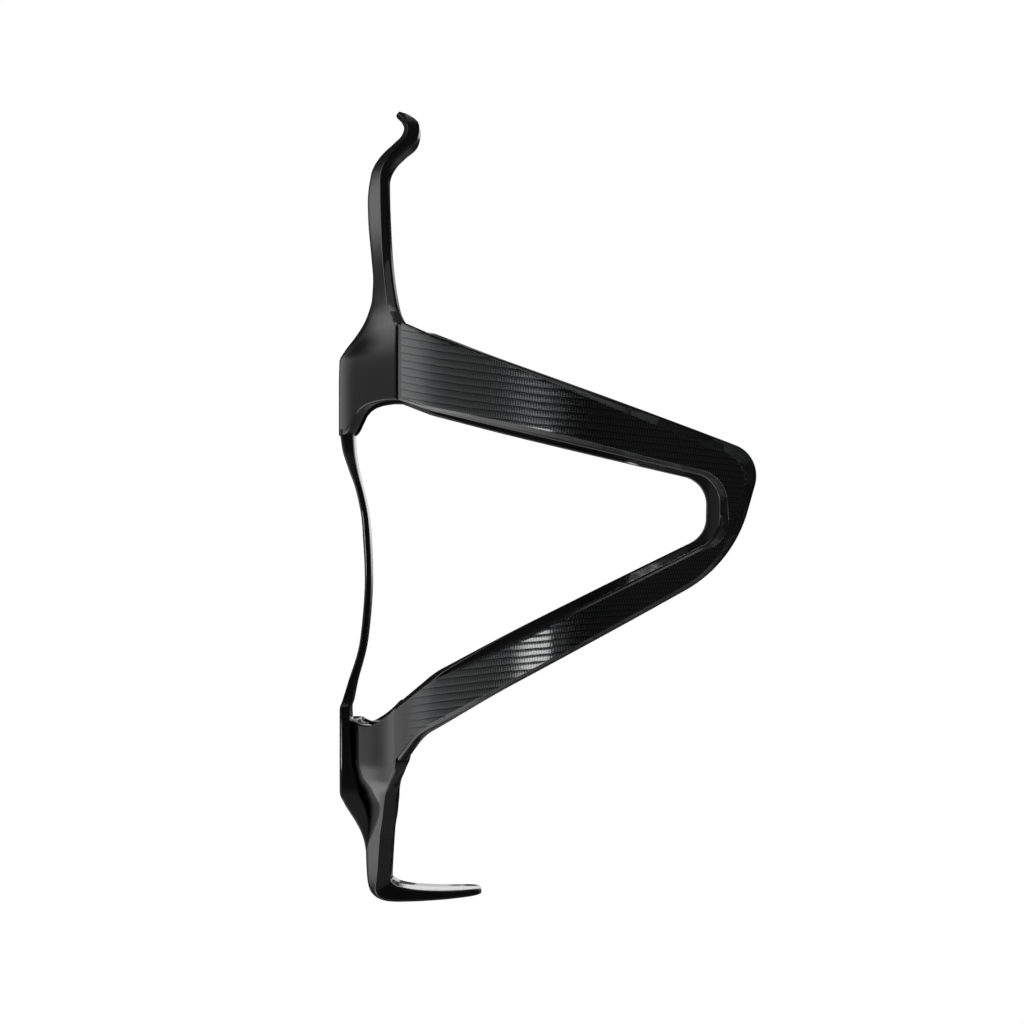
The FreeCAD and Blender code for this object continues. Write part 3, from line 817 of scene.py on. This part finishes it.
def chopped_carbon(looks):
    """Chopped-fibre moulding in the chamfers: flat flakes that each catch the light at
    their own angle, with fine fibre lines inside them."""
    carbon = Finish("chopped_carbon")
    add, calc = carbon.add, carbon.calc
    place = add("ShaderNodeTexCoord").outputs["Object"]
    drift = carbon.noise(place, 350.0, 2.0, "Color")
    drifted = add("ShaderNodeVectorMath", {0: drift, 1: (0.0016,) * 3}, operation="MULTIPLY")
    moved = add("ShaderNodeVectorMath", {0: place, 1: drifted.outputs[0]}, operation="ADD")
    long = add("ShaderNodeMapping", {"Vector": moved.outputs[0], "Scale": (190.0, 190.0, 420.0)})
    flakes = add("ShaderNodeTexVoronoi", {"Vector": long.outputs[0], "Scale": 1.0})
    shade = add("ShaderNodeSeparateColor", {"Color": flakes.outputs["Color"]}).outputs[0]
    fine = carbon.noise(place, 2600.0, 3.0)
    tone = calc("MULTIPLY_ADD", fine, 0.6, calc("MULTIPLY", shade, 0.8))
    carbon.colour(carbon.ramp(tone, 0.35, 1.05), dimmed(looks.resin, 1.5), looks.flake)
    carbon.rough(shade, 0.28, 0.5)
    carbon.relief(calc("MULTIPLY_ADD", fine, 0.35, shade), 0.6, 0.00008)
    carbon.give(Specular_IOR_Level=0.6)
    carbon.coat(0.12)
    return carbon.material


def satin_doubler(looks):
    """Pressed doubler: a fine grain over a satin ply."""
    satin = Finish("satin_doubler")
    calc = satin.calc
    place = satin.add("ShaderNodeTexCoord").outputs["Object"]
    grain = satin.noise(place, 1500.0, 4.0)
    parts = satin.add("ShaderNodeSeparateXYZ", {"Vector": place})
    both = calc("ADD", parts.outputs["Y"], parts.outputs["Z"])
    twill = calc("SINE", calc("MULTIPLY", both, 2 * math.pi / TWILL))
    share = calc("MULTIPLY", grain, calc("MULTIPLY_ADD", twill, 0.5, 0.5))
    satin.colour(share, looks.resin, dimmed(looks.fibre, 0.25))
    satin.rough(share, 0.42, 0.6)
    satin.relief(share, 0.6, 0.00005)
    return satin.material

FINISHES = {
    "lacquered_carbon": lacquered_carbon,
    "woven_carbon": woven_carbon,
    "chopped_carbon": chopped_carbon,
    "satin_doubler": satin_doubler,
}


def finish_named(context, name):
    """The finish of that name, made the first time it is asked for."""
    found = bpy.data.materials.get(name)
    return found or FINISHES[name](context.scene.cage_finish)


# ---------------------------------------------------------------- operators


class CAGE_OT_upper_saddle(bpy.types.Operator):
    """Upper saddle: the flat on the frame tube, its flared flanks and the wings' upper root"""

    bl_idname = "cage.upper_saddle"
    bl_label = "Upper Saddle"

    def execute(self, context):
        depth = upper_trunk(ACROSS, 30.0 + 0 * ACROSS)[0][..., 0]
        low = through(UPPER_EDGE_X, UPPER_EDGE_Z, depth)
        height = mix(low, NECK_Z + 0 * low, np.linspace(0, 1, 42)[None, :])
        outer, inner = upper_trunk(ACROSS + 0 * height, height)
        rims = (SADDLE_END_RIM, 0.0)
        piece = laminate(context, "upper_saddle_laminate", outer, inner, SADDLE_RIM, rims)
        drill(piece, context.scene.cage_sizes.hole_r / MM, BOLT_Z)
        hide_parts("upper_saddle")
        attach(piece, "cage")
        return {"FINISHED"}


class CAGE_OT_neck_and_hook(bpy.types.Operator):
    """Neck and hook: the channel that rises to the lip over the bottle's shoulder"""

    bl_idname = "cage.neck_and_hook"
    bl_label = "Neck and Hook"

    def execute(self, context):
        height = np.linspace(NECK_Z, HOOK_Z, 50)[None, :]
        outer, inner = upper_trunk(ACROSS + 0 * height, height + 0 * ACROSS)
        neck = laminate(context, "neck_strap_laminate", outer, inner, TRUNK_RIM)
        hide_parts("neck_strap")
        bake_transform(neck)
        along = np.linspace(0, 1, 44)[None, :]
        outer, inner = hook_trunk(ACROSS + 0 * along, along + 0 * ACROSS)
        lip = laminate(context, "hook_lip_laminate", outer, inner, TRUNK_RIM, (0.0, END_RIM))
        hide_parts("hook_lip")
        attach(lip, "hook")
        return {"FINISHED"}


class CAGE_OT_lower_saddle(bpy.types.Operator):
    """Lower saddle: the pad for the lower bolt and the wings' lower root"""

    bl_idname = "cage.lower_saddle"
    bl_label = "Lower Saddle"

    def execute(self, context):
        depth = lower_trunk(ACROSS, 5.0 + 0 * ACROSS)[0][..., 0]
        drop = LOWER_Z[0] - through(LOWER_EDGE_X, LOWER_EDGE_Z, depth)
        end = float(lower_run()[LOWER_Z.index(SADDLE_END_Z)])
        at = mix(drop, end + 0 * drop, np.linspace(0, 1, 44)[None, :])
        outer, inner = lower_trunk(ACROSS + 0 * at, at)
        rims = (SADDLE_END_RIM, 0.0)
        piece = laminate(context, "lower_saddle_laminate", outer, inner, SADDLE_RIM, rims)
        drill(piece, context.scene.cage_sizes.hole_r / MM, -BOLT_Z)
        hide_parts("lower_saddle")
        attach(piece, "cage")
        return {"FINISHED"}


class CAGE_OT_strut_and_foot(bpy.types.Operator):
    """Strut and foot: the channel below the lower saddle and the shelf under the bottle"""

    bl_idname = "cage.strut_and_foot"
    bl_label = "Strut and Foot"

    def execute(self, context):
        run = lower_run()
        start = float(run[LOWER_Z.index(SADDLE_END_Z)])
        heel = float(run[LOWER_X.index(HEEL_X)])
        pieces = (
            ("foot_strut", start, heel, 0.0),
            ("foot_shelf", heel, float(run[-1]), END_RIM),
        )
        for node, low, high, rim in pieces:
            at = np.linspace(low, high, 40)[None, :]
            outer, inner = lower_trunk(ACROSS + 0 * at, at + 0 * ACROSS)
            piece = laminate(context, node + "_laminate", outer, inner, TRUNK_RIM, (0.0, rim))
            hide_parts(node)
            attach(piece, "cage")
        return {"FINISHED"}


class CAGE_OT_spine(bpy.types.Operator):
    """Spine: the bowed strap between the saddles, its lower plate and its tapered tail"""

    bl_idname = "cage.spine"
    bl_label = "Spine"

    def execute(self, context):
        places = np.linspace(0, 1, len(SPINE_Z))
        along = np.linspace(0, 1, 130)[None, :]
        z, x, thick, width = (
            through(places, values, along) for values in (SPINE_Z, SPINE_X, SPINE_WALL, SPINE_HALF)
        )
        across = np.linspace(-1, 1, 25)[:, None]
        crown = 0.25 * across ** 2 * ease(0, 0.3, 1 - np.abs(2 * along - 0.7))
        outer = np.stack([x + crown, across * width, z + 0 * across], -1)
        inner = outer + np.stack([thick + 0 * across, 0 * crown, 0 * crown], -1)
        rims = (0.0, TAIL_RIM)
        piece = laminate(context, "spine_strap_laminate", outer, inner, SPINE_RIM, rims)
        drill(piece, context.scene.cage_sizes.hole_r / MM, -BOLT_Z)
        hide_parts("spine_strap")
        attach(piece, "cage")
        return {"FINISHED"}


class CAGE_OT_wing_bands(bpy.types.Operator):
    """Wing bands: the structural hoop of each wing with its moulded chamfers"""

    bl_idname = "cage.wing_bands"
    bl_label = "Wing Bands"

    def execute(self, context):
        finishes = [finish_named(context, name) for name in ("lacquered_carbon", "chopped_carbon")]
        for name, side in (("right_wing", -1), ("left_wing", 1)):
            (points, faces, lay, columns), bevel, across = wing_band(side, context.scene.cage_sizes)
            column = columns - RIM_STEPS
            chamfer = ((column >= 0) & (column < bevel - 2)) | (
                (column >= across - bevel + 1) & (column < across - 1)
            )
            piece = make_piece(
                name + "_hoop", points, faces, finishes, lay, chamfer.astype(int), 38.0
            )
            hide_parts(name + "_band")
            bend_with_wing(piece)
        return {"FINISHED"}


class CAGE_OT_wing_plies(bpy.types.Operator):
    """Woven plies: the cosmetic ply on the outside of each wing"""

    bl_idname = "cage.wing_plies"
    bl_label = "Woven Plies"

    def execute(self, context):
        for name, side in (("right_wing", -1), ("left_wing", 1)):
            points, faces, lay, _ = wing_cover(side, context.scene.cage_sizes)
            woven = [finish_named(context, "woven_carbon")]
            piece = make_piece(name + "_ply", points, faces, woven, lay, None, 50.0)
            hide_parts(name + "_cover")
            bend_with_wing(piece)
        return {"FINISHED"}


def bend_with_wing(piece):
    """Bakes the placement of a wing's piece into its mesh, leaving the object at the origin."""
    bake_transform(piece)


class CAGE_OT_doublers(bpy.types.Operator):
    """Doublers: the round pads under the two bolt heads"""

    bl_idname = "cage.doublers"
    bl_label = "Bolt Doublers"

    def execute(self, context):
        sizes = context.scene.cage_sizes
        r, hole = sizes.doubler_r / MM, sizes.hole_r / MM
        for node, height in (("upper_bolt_doubler", BOLT_Z), ("lower_bolt_doubler", -BOLT_Z)):
            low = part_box(node)[0].x / MM
            profile = [
                (hole, 0.0), (hole, 0.72), (hole + 0.06, 0.86), (hole + 0.2, 0.96),
                (hole + 0.4, 1.0), (r - 0.5, 1.0), (r - 0.25, 0.95), (r - 0.08, 0.82),
                (r, 0.6), (r, 0.0),
            ]
            points, faces = wheel(profile, (low, 0.0, height))
            satin = [finish_named(context, "satin_doubler")]
            piece = make_piece(node + "_ring", points, faces, satin)
            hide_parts(node)
            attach(piece, "cage")
        return {"FINISHED"}


# Studio panels: azimuth window, elevation window, brightness. Azimuth is from +X by +Y.
PANELS = (
    ((118, 138, 162, 184), (-80, -60, 14, 34), 0.68),
    ((160, 182, 226, 242), (-80, -60, 10, 26), 0.14),
    ((120, 150, 205, 240), (-90, -80, -18, -6), 0.9),
    ((0, 1, 359, 360), (-91, -90, -76, -64), 1.3),
    ((0, 1, 359, 360), (64, 76, 90, 91), 1.5),
    ((0, 1, 359, 360), (-70, -60, -30, -12), 0.16),
    ((48, 60, 84, 87), (-2, 1, 30, 50), 1.0),
    ((88.9, 89.5, 91.1, 91.5), (2.4, 3.2, 30, 50), 1.0),
    ((226, 238, 246, 249), (-8, -6, -1.5, -0.6), 9.0),
    ((250, 300, 359, 360), (-60, -40, 40, 60), 0.03),
)


class CAGE_OT_studio(bpy.types.Operator):
    """Studio: pale floor, soft lights and the camera"""

    bl_idname = "cage.studio"
    bl_label = "Studio"

    def execute(self, context):
        scene = context.scene
        floor_z = CAD_BOX[0][2] - FLOOR_DROP
        turn = np.linspace(0, 2 * math.pi, FLOOR_STEPS, endpoint=False)
        radii = FLOOR_RADII[:, None]
        level = floor_z + 0 * radii * turn
        rings = np.stack([radii * np.cos(turn), radii * np.sin(turn), level], -1)
        index = np.arange(level.size).reshape(level.shape)
        nxt = np.roll(index, -1, axis=1)
        faces = np.stack([index[:-1], index[1:], nxt[1:], nxt[:-1]], -1).reshape(-1, 4).tolist()
        faces.append(index[0].tolist())
        mesh = bpy.data.meshes.new("studio_floor")
        mesh.from_pydata(rings.reshape(-1, 3).tolist(), [], faces)
        floor = bpy.data.objects.new("studio_floor", mesh)
        scene.collection.objects.link(floor)
        mesh.materials.append(self.paper(context))
        floor.visible_glossy = False
        self.backdrop(scene)
        self.lights(scene)
        self.camera(scene)
        scene.view_settings.view_transform = "Standard"
        return {"FINISHED"}

    def paper(self, context):
        """Pale paper: white to the eye, a little darker in reflections and bounce."""
        paper = Finish("studio_paper")
        colour = (*context.scene.cage_finish.floor, 1)
        paper.give(Base_Color=colour, Roughness=0.9, Specular_IOR_Level=0.1)
        glow = paper.add("ShaderNodeEmission", {"Color": WHITE})
        out = next(n for n in paper.tree.nodes if n.type == "OUTPUT_MATERIAL")
        paper.split_rays(paper.shader, glow, out)
        return paper.material

    def backdrop(self, scene):
        """Even white room for the eye. Reflections see a dark room with soft panels, each a
        smooth window in azimuth and one in elevation, in degrees, and a brightness."""
        world = bpy.data.worlds.new("studio_room")
        scene.world = world
        world.use_nodes = True
        room = Nodes(world.node_tree)
        room.tree.nodes.clear()

        def slope(value, low, high):
            low, high = math.radians(low), math.radians(high)
            return room.ramp(value, low, high, interpolation_type="SMOOTHSTEP")

        def window(value, edges):
            falls = room.calc("SUBTRACT", 1.0, slope(value, edges[2], edges[3]))
            return room.calc("MULTIPLY", slope(value, edges[0], edges[1]), falls)

        way = room.add("ShaderNodeTexCoord").outputs["Generated"]
        parts = room.add("ShaderNodeSeparateXYZ", {0: way}).outputs
        turn = room.calc("ARCTAN2", parts["Y"], parts["X"])
        azimuth = room.calc("FLOORED_MODULO", turn, 2 * math.pi)
        elevation = room.calc("ARCSINE", parts["Z"])
        total = DARK_ROOM
        for edges, rise, bright in PANELS:
            panel = room.calc("MULTIPLY", window(azimuth, edges), window(elevation, rise))
            total = room.calc("MULTIPLY_ADD", panel, bright, total)
        dark = room.add("ShaderNodeBackground", {"Color": WHITE, "Strength": total})
        white = room.add("ShaderNodeBackground", {"Color": WHITE, "Strength": 1.0})
        room.split_rays(dark, white, room.add("ShaderNodeOutputWorld"))

    def lights(self, scene):
        """Softbox above the cage, on the camera's side."""
        data = bpy.data.lights.new("top_softbox", "AREA")
        data.shape = "RECTANGLE"
        data.size, data.size_y = SOFTBOX_WIDE, SOFTBOX_TALL
        data.energy = SOFTBOX_BRIGHT * math.pi * SOFTBOX_WIDE * SOFTBOX_TALL
        light = bpy.data.objects.new("top_softbox", data)
        scene.collection.objects.link(light)
        light.location = SOFTBOX_PLACE
        light.rotation_euler = (SOFTBOX_AIM - SOFTBOX_PLACE).to_track_quat("-Z", "Y").to_euler()
        light.visible_camera = False

    def camera(self, scene):
        """Level camera square to the wings' side, its frame centred between hook and foot."""
        data = bpy.data.cameras.new("camera")
        camera = bpy.data.objects.new("camera", data)
        scene.collection.objects.link(camera)
        camera.location = CAMERA_PLACE
        camera.rotation_euler = (math.pi / 2, 0, 0)
        data.sensor_width = 36.0
        data.lens = CAMERA_LENS
        data.clip_start, data.clip_end = 0.01, 50.0
        scene.camera = camera


class CAGE_PT_panel(bpy.types.Panel):
    """Lists the cage's pieces and its studio"""

    bl_idname = "CAGE_PT_panel"
    bl_label = "Carbon Bottle Cage"
    bl_space_type = "VIEW_3D"
    bl_region_type = "UI"
    bl_category = "Cage"

    def draw(self, context):
        layout = self.layout
        for group in (context.scene.cage_sizes, context.scene.cage_finish):
            for key in group.__annotations__:
                layout.prop(group, key)
        for piece in PIECES:
            layout.operator(piece.bl_idname)


PIECES = (
    CAGE_OT_upper_saddle,
    CAGE_OT_neck_and_hook,
    CAGE_OT_lower_saddle,
    CAGE_OT_strut_and_foot,
    CAGE_OT_spine,
    CAGE_OT_wing_bands,
    CAGE_OT_wing_plies,
    CAGE_OT_doublers,
    CAGE_OT_studio,
)
CLASSES = (CageSizes, CageFinish) + PIECES + (CAGE_PT_panel,)


def register():
    """Adds the classes and the cage's settings."""
    for item in CLASSES:
        bpy.utils.register_class(item)
    bpy.types.Scene.cage_sizes = PointerProperty(type=CageSizes)
    bpy.types.Scene.cage_finish = PointerProperty(type=CageFinish)


def unregister():
    """Takes them away again."""
    del bpy.types.Scene.cage_finish
    del bpy.types.Scene.cage_sizes
    for item in reversed(CLASSES):
        bpy.utils.unregister_class(item)


def main():
    """Builds every piece and the stage."""
    register()
    for piece in PIECES:
        group, call = piece.bl_idname.split(".")
        getattr(getattr(bpy.ops, group), call)()


if __name__ == "__main__":
    main()
